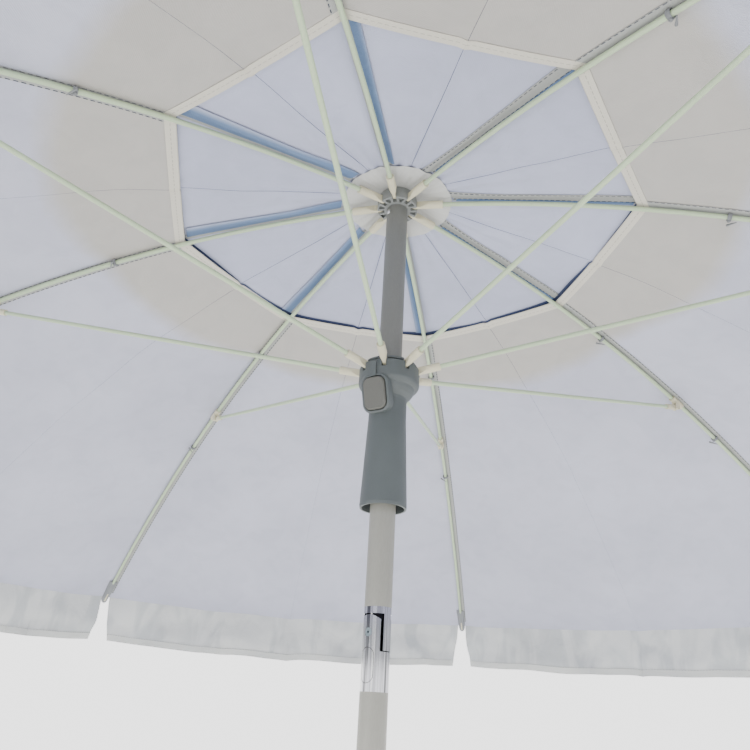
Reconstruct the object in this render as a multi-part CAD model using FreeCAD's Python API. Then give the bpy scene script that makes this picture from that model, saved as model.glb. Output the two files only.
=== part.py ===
# Beach umbrella with a vented eight-rib canopy, a push-button runner, a tilt joint in the
# pole and a lower pole with a sand point.  Open position, millimetres, +Z up, origin at the
# sand point on the pole's axis.  Each function below makes one piece or one family of pieces.
import FreeCAD
import Part
import math
import os

from FreeCAD import Placement, Rotation, Vector

# ---- driving dimensions ----
RIB_COUNT = 8
HUB_Z = 2150.0            # height of the rib pivots above the sand point
POLE_R = 14.0             # outside radius of mast and extension tubes
POLE_WALL = 1.2
PIVOT_R = 23.5            # pivot circle of the ribs in the hub and of the struts in the runner
RIB_SLOPE = 0.044         # a rib drops by slope * run + bend * run squared
RIB_BEND = 0.000284
RIB_TIP_R = 1147.5
RIB_R = 3.0               # fibreglass rod
CLIP_R = 590.0            # strut clip on the rib, distance from the pole's axis
CLIP_DROP = 11.0          # strut pivot below the rib's axis
STRUT_R = 2.75
VENT_R = 306.0            # inner edge of the main canopy
VENT_CAP_R = 425.0        # outer edge of the vent cap
CANOPY_R = 1150.0
CANOPY_GAP = 8.0          # underside of the fabric above the rib's axis
FABRIC = 0.8
VALANCE_DROP = 100.0
LATCH_AZIMUTH = -109.0    # side of the pole that carries the runner's button
TILT_AZIMUTH = -118.0     # direction of the tilt rivet
TILT_DROP = 542.5         # tilt rivet below the rib pivots
TILT_RANGE = 30.0
BUTTON_DROP = 38.0        # middle of the runner's button below the strut pivots
BUTTON_LEAN = 16.0        # its upper end stands further out
LOWER_TOP = 800.0         # top of the lower pole
LOWER_R = 16.0
LOWER_BORE = 14.3
TIP_TOP = 110.0           # sand point below, tube above
COLLAR_LOW = 745.0
COLLAR_SEAT = 15.8        # swaged upper end of the lower pole, under the collar

# ---- sizes that follow ----
HALF_STEP = math.radians(180.0 / RIB_COUNT)
TILT_Z = HUB_Z - TILT_DROP
HUB_RIVET_Z = HUB_Z - 15.0
HUB_RIVET_AZIMUTH = -135.0
SLOT_R = 17.8             # inner end of the slots in hub and runner
SLOT_HALF = 2.6
WIRE_R = 1.1              # pivot wires in hub and runner
EYE_R = 4.4               # round end of every blade that turns on a wire or pin
BLADE_HALF = 2.0
SOCKET_R = 5.2
RUNNING_GAP = 0.3
EAR_HALF = 11.0           # half width of the tilt sleeve's ears
SKIRT_FROM = 12.9         # the knuckle's skirts start this far from the joint's middle plane
AXIS_X, AXIS_Y, AXIS_Z = Vector(1, 0, 0), Vector(0, 1, 0), Vector(0, 0, 1)
ORIGIN = Vector(0, 0, 0)


# ---- small helpers ----
def cylinder(radius, z_low, z_high):
    return Part.makeCylinder(radius, z_high - z_low, Vector(0, 0, z_low))


def tube(outer, inner, z_low, z_high):
    return cylinder(outer, z_low, z_high).cut(cylinder(inner, z_low - 1, z_high + 1))


def box(x_low, x_high, y_half, z_low, z_high):
    return Part.makeBox(x_high - x_low, 2 * y_half, z_high - z_low, Vector(x_low, -y_half, z_low))


def turned(profile):
    """Solid of revolution about Z from (radius, height) corners."""
    corners = [Vector(r, 0, z) for r, z in profile]
    return Part.Face(Part.makePolygon(corners + corners[:1])).revolve(ORIGIN, AXIS_Z, 360)


def at_azimuth(shape, degrees):
    copy = shape.copy()
    copy.rotate(ORIGIN, AXIS_Z, degrees)
    return copy


def rounded_block(x_low, x_high, y_half, z_low, z_high, corner):
    """Block whose four edges along X are rounded."""
    block = box(x_low, x_high, y_half, z_low, z_high)
    along_x = [e for e in block.Edges if abs(e.tangentAt(e.FirstParameter).x) > 0.99]
    return block.makeFillet(corner, along_x)


def ring_channel(radius, wire, height):
    return Part.makeTorus(radius, wire, Vector(0, 0, height))


def rib_azimuth(index):
    return 360.0 / RIB_COUNT * (index - 1) - 90.0


def export(name, *shapes):
    solids = [s for shape in shapes for s in shape.Solids]
    for solid in solids:
        if not solid.isValid() or solid.Volume <= 0:
            raise ValueError(f"{name} holds a bad solid")
    shape = solids[0] if len(solids) == 1 else Part.makeCompound(solids)
    shape.exportStep(f"parts/{name}.step")
    print(f"{name}: {len(solids)} solid(s), {sum(s.Volume for s in solids) / 1000:.1f} cm3")


# ---- lines that several pieces share ----
def rib_z(r):
    run = r - PIVOT_R
    return HUB_Z - RIB_SLOPE * run - RIB_BEND * run * run


def rib_angle(r):
    """Downward slope of the rib in degrees."""
    return math.degrees(math.atan(RIB_SLOPE + 2 * RIB_BEND * (r - PIVOT_R)))


def clip_pivot():
    """Strut pivot under the rib, in the plane of azimuth 0."""
    slope = math.radians(rib_angle(CLIP_R))
    return Vector(CLIP_R - CLIP_DROP * math.sin(slope), 0, rib_z(CLIP_R) - CLIP_DROP * math.cos(slope))


# The strut pivot stands half-way in height between hub and runner.  Both arms of the linkage
# are then equal, and the runner stays on the pole's axis at every stage of folding.
RUNNER_Z = 2 * clip_pivot().z - HUB_Z


def runner_pivot():
    return Vector(PIVOT_R, 0, RUNNER_Z)


def strut_angle():
    """Upward slope of the strut from the runner to the rib, in degrees."""
    line = clip_pivot() - runner_pivot()
    return math.degrees(math.atan2(line.z, line.x))


# ---- poles ----
def sand_tip():
    shoulder = LOWER_R - 0.1
    return turned([(0, 0), (2.5, 0), (7, 12), (11.5, 60), (shoulder, 96), (shoulder, TIP_TOP),
                   (14.2, TIP_TOP), (14.2, TIP_TOP + 40), (0, TIP_TOP + 40)])


def lower_pole():
    pole = tube(LOWER_R, LOWER_BORE, TIP_TOP, COLLAR_LOW)
    pole = pole.fuse(tube(COLLAR_SEAT, LOWER_BORE, COLLAR_LOW, LOWER_TOP))
    screw_hole = Part.makeCylinder(3.4, 10, Vector(12, 0, LOWER_TOP - 20), AXIS_X)
    return pole.cut(at_azimuth(screw_hole, -90))


def clamp_collar():
    """Plastic collar on top of the lower pole, with a boss for the hand screw."""
    seat = COLLAR_SEAT + 0.05
    low = COLLAR_LOW + 0.3
    sleeve = turned([(seat, low), (19, low), (21.5, low + 15), (21.5, LOWER_TOP + 4),
                     (20, LOWER_TOP + 10), (14.4, LOWER_TOP + 10), (14.4, LOWER_TOP + 0.1),
                     (seat, LOWER_TOP + 0.1)])
    boss = Part.makeCylinder(10.5, 14, Vector(LOWER_R + 2, 0, LOWER_TOP - 20), AXIS_X)
    hole = Part.makeCylinder(3.4, 40, Vector(10, 0, LOWER_TOP - 20), AXIS_X)
    bore = cylinder(seat, low - 1, LOWER_TOP)
    body = sleeve.fuse(at_azimuth(boss, -90)).cut(at_azimuth(hole, -90)).cut(bore)
    return body.removeSplitter()


def clamp_knob():
    """Hand screw with a three-lobed head; its tip stops just short of the inner tube."""
    height = LOWER_TOP - 20
    shank = Part.makeCylinder(3.2, 20, Vector(POLE_R + 0.25, 0, height), AXIS_X)
    head = Part.makeCylinder(9, 12, Vector(33, 0, height), AXIS_X)
    for lobe in range(3):
        angle = 2 * math.pi * lobe / 3
        centre = Vector(33, 11 * math.cos(angle), height + 11 * math.sin(angle))
        head = head.fuse(Part.makeCylinder(7.5, 12, centre, AXIS_X))
    head = head.removeSplitter()
    rims = [e for e in head.Edges if e.BoundBox.XLength < 0.01]
    return at_azimuth(head.makeFillet(2.0, rims).fuse(shank), -90)


def extension_tube():
    return tube(POLE_R, POLE_R - POLE_WALL, 520, TILT_Z - 53.5)


def mast_tube():
    top = HUB_Z - 330
    return tube(POLE_R, POLE_R - POLE_WALL, TILT_Z + 24.5, top)


def mast_top_tube():
    """Dark upper tube with a swaged end that plugs into the mast tube."""
    joint = HUB_Z - 330
    swaged = POLE_R - POLE_WALL - 0.05
    outline = [(swaged, joint - 60), (swaged, joint), (POLE_R, joint + 0.1), (POLE_R, HUB_Z + 9),
               (POLE_R - POLE_WALL, HUB_Z + 9), (POLE_R - POLE_WALL, joint + 4),
               (swaged - POLE_WALL, joint), (swaged - POLE_WALL, joint - 60)]
    pole = turned(outline)
    rivet_hole = Part.makeCylinder(2.1, 40, Vector(-20, 0, HUB_RIVET_Z), AXIS_X)
    latch_hole = Part.makeCylinder(3.4, 8, Vector(10, 0, RUNNER_Z - BUTTON_DROP), AXIS_X)
    pole = pole.cut(at_azimuth(rivet_hole, HUB_RIVET_AZIMUTH))
    return pole.cut(at_azimuth(latch_hole, LATCH_AZIMUTH))


# ---- tilt joint, built with the rivet along X and turned to its azimuth at the end ----
def tilt_lower_sleeve():
    """Chromed sleeve on the extension tube, with two rounded ears that carry the rivet."""
    sleeve = tube(POLE_R, 12.5, TILT_Z - 53.5, TILT_Z + 17)
    spigot = tube(POLE_R - POLE_WALL - 0.05, 11.4, TILT_Z - 83.5, TILT_Z - 53.5)
    step = tube(12.6, 11.4, TILT_Z - 53.5, TILT_Z - 50)
    ear = Part.makeCylinder(16.7, 40, Vector(-20, 0, TILT_Z), AXIS_X)
    ear = ear.fuse(box(-20, 20, EAR_HALF, TILT_Z - 60, TILT_Z))
    ear = ear.common(box(-20, 20, EAR_HALF, TILT_Z - 60, TILT_Z + 18))
    stop_side = Part.makeBox(40, 20, 50, Vector(-20, 0, TILT_Z - 67.5))
    open_side = Part.makeBox(40, 20, 50, Vector(-20, -20, TILT_Z - 59.5))
    keep = ear.fuse(stop_side).fuse(open_side)
    body = sleeve.common(keep).fuse(spigot).fuse(step)
    rivet_hole = Part.makeCylinder(3.05, 40, Vector(-20, 0, TILT_Z), AXIS_X)
    for side in (1, -1):
        seat = Part.makeCylinder(4.3, 5, Vector(13.1 * side, 0, TILT_Z), AXIS_X * side)
        rivet_hole = rivet_hole.fuse(seat)
    pocket = rounded_block(0, 20, 7.3, TILT_Z - 46.3, TILT_Z - 13.7, 7.2)
    return at_azimuth(body.cut(rivet_hole).cut(pocket).removeSplitter(), TILT_AZIMUTH)


def tilt_upper_knuckle():
    """Chromed knuckle in the mast tube; its tongue stays inside the sleeve's bore at every tilt."""
    cap = cylinder(POLE_R, TILT_Z + 17.8, TILT_Z + 24.5)
    spigot = tube(POLE_R - POLE_WALL - 0.05, 10.8, TILT_Z + 24.5, TILT_Z + 54)
    tongue = cylinder(12.2, TILT_Z - 12.2, TILT_Z + 18)
    foot_round = Part.makeCylinder(12.2, 40, Vector(-20, 0, TILT_Z), AXIS_X)
    tongue = tongue.common(foot_round.fuse(box(-20, 20, 12.3, TILT_Z, TILT_Z + 19)))
    for angle in (TILT_RANGE / 2, TILT_RANGE):
        bore = cylinder(12.2, TILT_Z - 60, TILT_Z + 60)
        bore.rotate(Vector(0, 0, TILT_Z), AXIS_X, -angle)
        tongue = tongue.common(bore)
    skirt = tube(POLE_R, 12.6, TILT_Z - 16.6, TILT_Z + 18)
    stop_skirt = skirt.common(Part.makeBox(40, 8, 60, Vector(-20, SKIRT_FROM, TILT_Z - 30)))
    open_skirt = skirt.common(Part.makeBox(40, 8, 16, Vector(-20, -SKIRT_FROM - 8, TILT_Z + 2.5)))
    body = cap.fuse(spigot).fuse(tongue).fuse(stop_skirt).fuse(open_skirt)
    rivet_hole = Part.makeCylinder(3.05, 40, Vector(-20, 0, TILT_Z), AXIS_X)
    return at_azimuth(body.cut(rivet_hole).removeSplitter(), TILT_AZIMUTH)


def tilt_rivet():
    """Hollow rivet whose ringed heads lie flush with the tube, so that the runner slides past."""
    rivet = Part.makeCylinder(3.0, 27.4, Vector(-13.7, 0, TILT_Z), AXIS_X)
    for side in (1, -1):
        head = Part.makeCylinder(4.1, 2, Vector(13.15 * side, 0, TILT_Z), AXIS_X * side)
        groove = Part.makeTorus(2.6, 0.35, Vector(13.85 * side, 0, TILT_Z), AXIS_X)
        rivet = rivet.fuse(head).cut(groove)
    hollow = Part.makeCylinder(1.3, 40, Vector(-20, 0, TILT_Z), AXIS_X)
    rivet = rivet.cut(hollow).common(cylinder(POLE_R - 0.1, TILT_Z - 5, TILT_Z + 5))
    return at_azimuth(rivet, TILT_AZIMUTH)


def tilt_button():
    """Flush oval push plate under the rivet, with a short plunger behind it."""
    plate = rounded_block(11, 20, 6.8, TILT_Z - 45.8, TILT_Z - 14.2, 6.7)
    plate = plate.common(tube(POLE_R - 0.1, 11.6, TILT_Z - 50, TILT_Z - 10))
    plunger = Part.makeCylinder(3.0, 4.6, Vector(7.4, 0, TILT_Z - 36), AXIS_X)
    return at_azimuth(plate.fuse(plunger).removeSplitter(), TILT_AZIMUTH)


def coil_spring(x_low, x_high, height, coil_r, wire_r, turns):
    """Compression spring along X."""
    pitch = (x_high - x_low) / turns
    helix = Part.makeHelix(pitch, x_high - x_low, coil_r)
    section = Part.Wire(Part.makeCircle(wire_r, Vector(coil_r, 0, 0), AXIS_Y))
    coil = Part.Wire(helix.Edges).makePipeShell([section], True, True)
    coil.Placement = Placement(Vector(x_low, 0, height), Rotation(AXIS_Y, 90))
    return coil


def tilt_spring():
    return at_azimuth(coil_spring(-10.2, 6.6, TILT_Z - 36, 3.6, 0.5, 7), TILT_AZIMUTH)


# ---- hub ----
def hub():
    """Crown with a slot and a wire channel for each rib, and a pocket between slots."""
    bottom, top, rim = HUB_Z - 6.5, HUB_Z + 14, 27.0
    body = turned([(POLE_R + 0.02, bottom), (rim - 1, bottom), (rim, bottom + 1), (rim, HUB_Z + 4),
                   (rim - 2, HUB_Z + 5), (rim - 2, top - 1), (rim - 3, top), (0, top),
                   (0, HUB_Z + 9.1), (POLE_R + 0.02, HUB_Z + 9.1)])
    plug = cylinder(POLE_R - POLE_WALL - 0.05, HUB_Z - 26, HUB_Z + 9.1)
    body = body.fuse(plug).cut(ring_channel(PIVOT_R, WIRE_R + 0.15, HUB_Z))
    slot = box(SLOT_R, 30, SLOT_HALF, bottom - 1, HUB_Z + 6.5)
    pocket = Part.Face(Part.makePolygon([Vector(17.4, -1.2, bottom - 1), Vector(25, -3.9, bottom - 1),
                                         Vector(25, 3.9, bottom - 1), Vector(17.4, 1.2, bottom - 1),
                                         Vector(17.4, -1.2, bottom - 1)])).extrude(Vector(0, 0, 5))
    for index in range(1, RIB_COUNT + 1):
        body = body.cut(at_azimuth(slot, rib_azimuth(index)))
        body = body.cut(at_azimuth(pocket, rib_azimuth(index) + 180.0 / RIB_COUNT))
    rivet_hole = Part.makeCylinder(2.1, 40, Vector(-20, 0, HUB_RIVET_Z), AXIS_X)
    thread = cylinder(4.1, HUB_Z + 8, top + 1)
    return body.cut(at_azimuth(rivet_hole, HUB_RIVET_AZIMUTH)).cut(thread)


def hub_rivet():
    """Dome-headed rivet through the mast and the hub's plug."""
    rivet = Part.makeCylinder(2.0, 2 * POLE_R, Vector(-POLE_R, 0, HUB_RIVET_Z), AXIS_X)
    for side in (1, -1):
        dome = Part.makeSphere(4.6, Vector(side * (POLE_R - 2.6), 0, HUB_RIVET_Z))
        rivet = rivet.fuse(dome.cut(box(-POLE_R, POLE_R, 8, HUB_Z - 30, HUB_Z)))
    return at_azimuth(rivet.removeSplitter(), HUB_RIVET_AZIMUTH)


def finial():
    """Cap that clamps the canopy on the hub, with a bolt in the hub's centre hole."""
    low = HUB_Z + 18.2
    cap = turned([(0, low - 9.5), (4.0, low - 9.5), (4.0, low), (30, low), (30.5, low + 1.5),
                  (29, low + 4), (19, low + 9), (15.5, low + 14), (15, low + 24), (12.5, low + 31),
                  (7.5, low + 35.5), (0, low + 37)])
    return cap


# ---- runner ----
def leaned(shape):
    """Tips a piece at the button so that its upper end stands further out."""
    copy = shape.copy()
    copy.rotate(Vector(32.5, 0, RUNNER_Z - BUTTON_DROP), AXIS_Y, BUTTON_LEAN)
    return at_azimuth(copy, LATCH_AZIMUTH)


def button_block(x_low, x_high, y_half, z_half, corner, crowned=0.0):
    """Rounded block centred on the button; crowned rounds the edge of its outer face."""
    middle = RUNNER_Z - BUTTON_DROP
    block = rounded_block(x_low, x_high, y_half, middle - z_half, middle + z_half, corner)
    if crowned:
        front = [e for e in block.Edges if e.BoundBox.XLength < 0.01 and e.BoundBox.XMin > x_high - 1]
        block = block.makeFillet(crowned, front)
    return leaned(block)


def runner():
    """Crown and hollow hand grip in one moulding; a raised rim at its side frames the button."""
    bore, crown_top = POLE_R + RUNNING_GAP, RUNNER_Z + 3.5
    side = [(35.2, 3.5), (35.8, 2.7), (35.8, -14.5), (35.4, -16.8), (34.2, -19.0), (32.2, -21.0),
            (31.0, -21.5), (30.4, -22.4), (29.0, -25.6), (26.8, -29.0), (24.2, -31.8), (22.4, -34.2),
            (21.7, -37.5), (21.7, -60), (25.8, -160), (25.4, -163), (23.4, -163), (23.1, -160),
            (18.5, -64)]
    outline = [(bore, crown_top)] + [(r, RUNNER_Z + z) for r, z in side] + [(bore, RUNNER_Z - 52)]
    rim = button_block(21, 31.2, 17.4, 22.5, 11.5, 2.0)
    lug = box(30, 37.9, 3.5, RUNNER_Z - 20, RUNNER_Z + 0.5)
    body = turned(outline).fuse(rim).fuse(at_azimuth(lug, LATCH_AZIMUTH))
    body = body.cut(button_block(23, 44, 14.8, 19.8, 9.3))
    body = body.cut(cylinder(bore, RUNNER_Z - 64, RUNNER_Z + 10))
    slot = box(SLOT_R, 40, SLOT_HALF, RUNNER_Z - 6, RUNNER_Z + 10)
    for index in range(1, RIB_COUNT + 1):
        body = body.cut(at_azimuth(slot, rib_azimuth(index)))
    body = body.cut(ring_channel(PIVOT_R, WIRE_R + 0.15, RUNNER_Z))
    return body.removeSplitter()


def runner_top_ring():
    """Notched cover that keeps the pivot wire in the crown; its edge stands clear of the crown."""
    low = RUNNER_Z + 3.7
    bore = POLE_R + RUNNING_GAP
    ring = turned([(bore, low), (29, low), (29.5, low + 2.3), (32.8, low + 2.3), (33.4, low + 3),
                   (32.4, low + 5), (bore, low + 5)])
    slot = box(SLOT_R, 40, SLOT_HALF, low - 1, low + 7)
    for index in range(1, RIB_COUNT + 1):
        ring = ring.cut(at_azimuth(slot, rib_azimuth(index)))
    return ring


def runner_button():
    """Thumb plate with rounded corners and a slightly crowned face."""
    return button_block(26.1, 34.0, 13.9, 18.9, 8.5, 2.4)


def runner_spring():
    return leaned(coil_spring(23.4, 25.6, RUNNER_Z - BUTTON_DROP, 4.0, 0.4, 2))


def pivot_wire(height):
    return ring_channel(PIVOT_R, WIRE_R, height)


# ---- ribs and struts, made in the plane of azimuth 0 ----
def socket(length, blade, body_r, rod_r):
    """Moulded end with a flat blade and eye at the origin and a rod socket along +X."""
    wide, full = body_r + 0.1, blade + 10
    outline = [(-5, -BLADE_HALF), (blade, -BLADE_HALF), (full, -wide), (length, -wide),
               (length, wide), (full, wide), (blade, BLADE_HALF), (-5, BLADE_HALF)]
    corners = [Vector(x, y, -8) for x, y in outline]
    plan = Part.Face(Part.makePolygon(corners + corners[:1])).extrude(Vector(0, 0, 16))
    body = Part.makeCylinder(body_r, length + 5, Vector(-5, 0, 0), AXIS_X).common(plan)
    eye = Part.makeCylinder(EYE_R, 12, Vector(0, -6, 0), AXIS_Y)
    body = body.common(eye.fuse(box(0, length, 6, -8, 8)))
    wire_hole = Part.makeCylinder(WIRE_R + 0.35, 12, Vector(0, -6, 0), AXIS_Y)
    body = body.cut(wire_hole)
    if rod_r:
        body = body.cut(Part.makeCylinder(rod_r + 0.1, length, Vector(blade + 6, 0, 0), AXIS_X))
    return body


def placed(shape, point, degrees_up):
    """Moves a piece made along +X to a point and tips it up in the XZ plane."""
    copy = shape.copy()
    copy.Placement = Placement(point, Rotation(AXIS_Y, -degrees_up))
    return copy


def arc_from(start, tangent, end):
    """Arc that leaves start along tangent and reaches end, with its tangent there."""
    chord = end - start
    lean = math.atan2(tangent.z, tangent.x) - math.atan2(chord.z, chord.x)
    across = Vector(-chord.z, 0, chord.x)
    middle = start + chord * 0.5 + across * (0.5 * math.tan(lean / 2))
    angle = math.atan2(chord.z, chord.x) - lean
    return Part.Arc(start, middle, end).toShape(), Vector(math.cos(angle), 0, math.sin(angle))


def rib_sweep(radius):
    """Bent rod of a radius along tangent arcs between points of the rib's line."""
    start, arcs = PIVOT_R + 14.5, 4
    slope = math.radians(rib_angle(start))
    tangent = Vector(math.cos(slope), 0, -math.sin(slope))
    point = Vector(start, 0, rib_z(start))
    section = Part.Wire(Part.makeCircle(radius, point, tangent))
    edges = []
    for i in range(1, arcs + 1):
        r = start + (RIB_TIP_R - start) * i / arcs
        edge, tangent = arc_from(point, tangent, Vector(r, 0, rib_z(r)))
        edges.append(edge)
        point = Vector(r, 0, rib_z(r))
    return Part.Wire(edges).makePipeShell([section], True, False)


def strut_clip():
    """Sleeve on the rib with two cheeks under it; the strut's blade turns between them."""
    sleeve = Part.makeCylinder(SOCKET_R, 26, Vector(-13, 0, 0), AXIS_X)
    sleeve = sleeve.common(box(-14, 14, 6, -6, 3.7))
    lug = Part.makeCylinder(5.0, 8.8, Vector(0, -4.4, -CLIP_DROP), AXIS_Y)
    lug = lug.fuse(box(-5, 5, 4.4, -CLIP_DROP, 0))
    gap = Part.makeCylinder(6.2, 4.4, Vector(0, -2.2, -CLIP_DROP), AXIS_Y)
    gap = gap.fuse(box(-6.2, 6.2, 2.2, -CLIP_DROP - 7, -CLIP_DROP))
    pin_hole = Part.makeCylinder(WIRE_R + 0.05, 12, Vector(0, -6, -CLIP_DROP), AXIS_Y)
    body = sleeve.fuse(lug).cut(gap).cut(pin_hole)
    return placed(body.removeSplitter(), Vector(CLIP_R, 0, rib_z(CLIP_R)), -rib_angle(CLIP_R))


def clip_pin():
    pin = Part.makeCylinder(WIRE_R, 9.4, Vector(0, -4.7, 0), AXIS_Y)
    return placed(pin, clip_pivot(), 0)


def rib_tip_cap():
    """Closed sleeve on the rib's outer end, which the canopy's corner pocket pulls over."""
    cap = Part.makeCylinder(4.3, 26, Vector(-20, 0, 0), AXIS_X)
    rim = [e for e in cap.Edges if e.BoundBox.XLength < 0.01 and e.BoundBox.XMin > 0]
    cap = cap.makeFillet(2.0, rim)
    return placed(cap, Vector(RIB_TIP_R, 0, rib_z(RIB_TIP_R)), -rib_angle(RIB_TIP_R))


def rib_fittings():
    """Hub end, strut clip and tip cap, bored along the bent rod, and the clip's pin."""
    bore = rib_sweep(RIB_R + 0.15)
    hub_end = placed(socket(38, 8, SOCKET_R, 0), Vector(PIVOT_R, 0, HUB_Z), -rib_angle(PIVOT_R + 20))
    return [hub_end.cut(bore), strut_clip().cut(bore), clip_pin(), rib_tip_cap().cut(bore)]


def strut_rod():
    length = (clip_pivot() - runner_pivot()).Length
    rod = Part.makeCylinder(STRUT_R, length - 34, Vector(19.5, 0, 0), AXIS_X)
    return placed(rod, runner_pivot(), strut_angle())


def strut_ends():
    inner = placed(socket(38, 13, 4.8, STRUT_R), runner_pivot(), strut_angle())
    outer = placed(socket(28, 8, 4.4, STRUT_R), clip_pivot(), strut_angle() + 180)
    return [inner, outer]


# ---- canopy, one gore for each rib, cut half-way to the next rib ----
def panel_point(r, z, side, shift):
    """Point half-way to the next rib on the straight line between two ribs at radius r."""
    x = r * math.cos(HALF_STEP) * math.cos(HALF_STEP) + shift * math.sin(HALF_STEP)
    y = r * math.cos(HALF_STEP) * math.sin(HALF_STEP) - shift * math.cos(HALF_STEP)
    return Vector(x, side * y, z)


def slab(low_face):
    """Thin plate: four corners and the same corners one cloth thickness higher."""
    high_face = [p + Vector(0, 0, FABRIC) for p in low_face]
    faces = [low_face, high_face]
    for i in range(4):
        j = (i + 1) % 4
        faces.append([low_face[i], low_face[j], high_face[j], high_face[i]])
    shell = Part.Shell([Part.Face(Part.makePolygon(f + f[:1])) for f in faces])
    solid = Part.Solid(shell)
    return solid if solid.Volume > 0 else Part.Solid(shell.reversed())


def canopy_strips(stations):
    """Flat strips between (radius, height) stations, on both sides of the rib."""
    strips = []
    for (r_in, z_in), (r_out, z_out) in zip(stations, stations[1:]):
        for side in (1, -1):
            strips.append(slab([Vector(r_in, 0, z_in), Vector(r_out, 0, z_out),
                                panel_point(r_out, z_out, side, 0.15),
                                panel_point(r_in, z_in, side, 0.15)]))
    return strips


def valance_flap(side):
    """Hanging edge from beside the rib's tip to the middle of the panel."""
    top = rib_z(CANOPY_R) + CANOPY_GAP
    corner = Vector(CANOPY_R, 0, 0)
    middle = panel_point(CANOPY_R, 0, side, 0.15)
    along = (middle - corner).normalize()
    inward = Vector(-math.cos(HALF_STEP), -side * math.sin(HALF_STEP), 0) * FABRIC
    outline = [corner + along * 9 + AXIS_Z * top, middle + AXIS_Z * top,
               middle + AXIS_Z * (top - VALANCE_DROP), corner + along * 34 + AXIS_Z * (top - VALANCE_DROP)]
    return Part.Face(Part.makePolygon(outline + outline[:1])).extrude(inward)


def canopy_gore():
    main = [(r, rib_z(r) + CANOPY_GAP) for r in (VENT_R, 480.0, 650.0, 820.0, 985.0, CANOPY_R)]
    vent = [(24.0, HUB_Z + 16.6), (70.0, HUB_Z + 9.0), (190.0, rib_z(190.0) + CANOPY_GAP),
            (300.0, rib_z(300.0) + CANOPY_GAP + 2.1), (VENT_CAP_R, rib_z(VENT_CAP_R) + CANOPY_GAP + 5.5)]
    return canopy_strips(main) + canopy_strips(vent) + [valance_flap(1), valance_flap(-1)]


def main():
    os.makedirs("parts", exist_ok=True)
    export("sand_tip", sand_tip())
    export("lower_pole", lower_pole())
    export("clamp_collar", clamp_collar())
    export("clamp_knob", clamp_knob())
    export("extension_tube", extension_tube())
    export("tilt_lower_sleeve", tilt_lower_sleeve())
    export("tilt_rivet", tilt_rivet())
    export("tilt_button", tilt_button())
    export("tilt_spring", tilt_spring())
    export("tilt_upper_knuckle", tilt_upper_knuckle())
    export("mast_tube", mast_tube())
    export("mast_top_tube", mast_top_tube())
    export("hub", hub())
    export("hub_wire_and_rivet", pivot_wire(HUB_Z), hub_rivet())
    export("finial", finial())
    export("runner", runner())
    export("runner_top_ring", runner_top_ring())
    export("runner_pivot_wire", pivot_wire(RUNNER_Z))
    export("runner_button", runner_button())
    export("runner_spring", runner_spring())
    families = {"rib": [rib_sweep(RIB_R)], "rib_fittings": rib_fittings(), "strut": [strut_rod()],
                "strut_ends": strut_ends(), "canopy_gore": canopy_gore()}
    for name, shapes in families.items():
        for index in range(1, RIB_COUNT + 1):
            export(f"{name}_{index}", *[at_azimuth(s, rib_azimuth(index)) for s in shapes])


main()
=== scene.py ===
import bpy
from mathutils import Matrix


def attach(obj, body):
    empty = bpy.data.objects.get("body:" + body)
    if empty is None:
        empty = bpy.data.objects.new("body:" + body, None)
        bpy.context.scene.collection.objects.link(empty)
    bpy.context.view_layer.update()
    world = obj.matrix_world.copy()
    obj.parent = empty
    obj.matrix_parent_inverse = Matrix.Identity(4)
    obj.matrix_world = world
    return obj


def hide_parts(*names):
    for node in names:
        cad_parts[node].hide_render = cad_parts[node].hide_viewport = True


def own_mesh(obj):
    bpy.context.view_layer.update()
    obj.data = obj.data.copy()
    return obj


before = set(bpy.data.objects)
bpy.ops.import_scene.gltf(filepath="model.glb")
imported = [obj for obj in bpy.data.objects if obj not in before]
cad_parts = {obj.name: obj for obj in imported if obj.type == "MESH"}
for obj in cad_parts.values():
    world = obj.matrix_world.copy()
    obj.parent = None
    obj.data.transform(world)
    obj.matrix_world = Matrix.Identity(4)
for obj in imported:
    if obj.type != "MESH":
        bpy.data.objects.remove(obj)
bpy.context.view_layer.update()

import math
import bpy
from mathutils import Matrix, Vector, noise

# everything here is in metres, like the frame
shape = {"ribs": 8, "hubZ": 2.150, "pivotRadius": 0.0235, "ribSlope": 0.044, "ribBend": 0.284,
         "ventRadius": 0.306, "capRadius": 0.425, "canopyRadius": 1.150, "clothGap": 0.0055}
halfStep = math.pi / shape["ribs"]


def ribAngle(index):
    return math.radians(45.0 * (index - 1) - 90.0)


def ribHeight(r):
    run = r - shape["pivotRadius"]
    return shape["hubZ"] - shape["ribSlope"] * run - shape["ribBend"] * run * run


def smooth(a, b, x):
    t = min(max((x - a) / (b - a), 0.0), 1.0)
    return t * t * (3 - 2 * t)


# materials, all of them worked out from object coordinates or from a piece's own UV map
def startMaterial(name, color, roughness, metallic=0.0):
    material = bpy.data.materials.new(name)
    material.use_nodes = True
    shader = material.node_tree.nodes["Principled BSDF"]
    shader.inputs["Base Color"].default_value = (*color, 1)
    shader.inputs["Roughness"].default_value = roughness
    shader.inputs["Metallic"].default_value = metallic
    return material, shader


def addNode(material, kind, **values):
    node = material.node_tree.nodes.new(kind)
    for key, value in values.items():
        setattr(node, key, value)
    return node


def join(material, fromSocket, toSocket):
    material.node_tree.links.new(fromSocket, toSocket)


def objectCoords(material, scale=(1, 1, 1)):
    coords = addNode(material, "ShaderNodeTexCoord")
    mapping = addNode(material, "ShaderNodeMapping")
    mapping.inputs["Scale"].default_value = scale
    join(material, coords.outputs["Object"], mapping.inputs["Vector"])
    return mapping.outputs["Vector"]


def ramp(material, source, stops):
    node = addNode(material, "ShaderNodeValToRGB")
    elements = node.color_ramp.elements
    while len(elements) < len(stops):
        elements.new(0.5)
    for element, (place, color) in zip(elements, stops):
        element.position = place
        element.color = (*color, 1)
    join(material, source, node.inputs["Fac"])
    return node.outputs["Color"]


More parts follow.
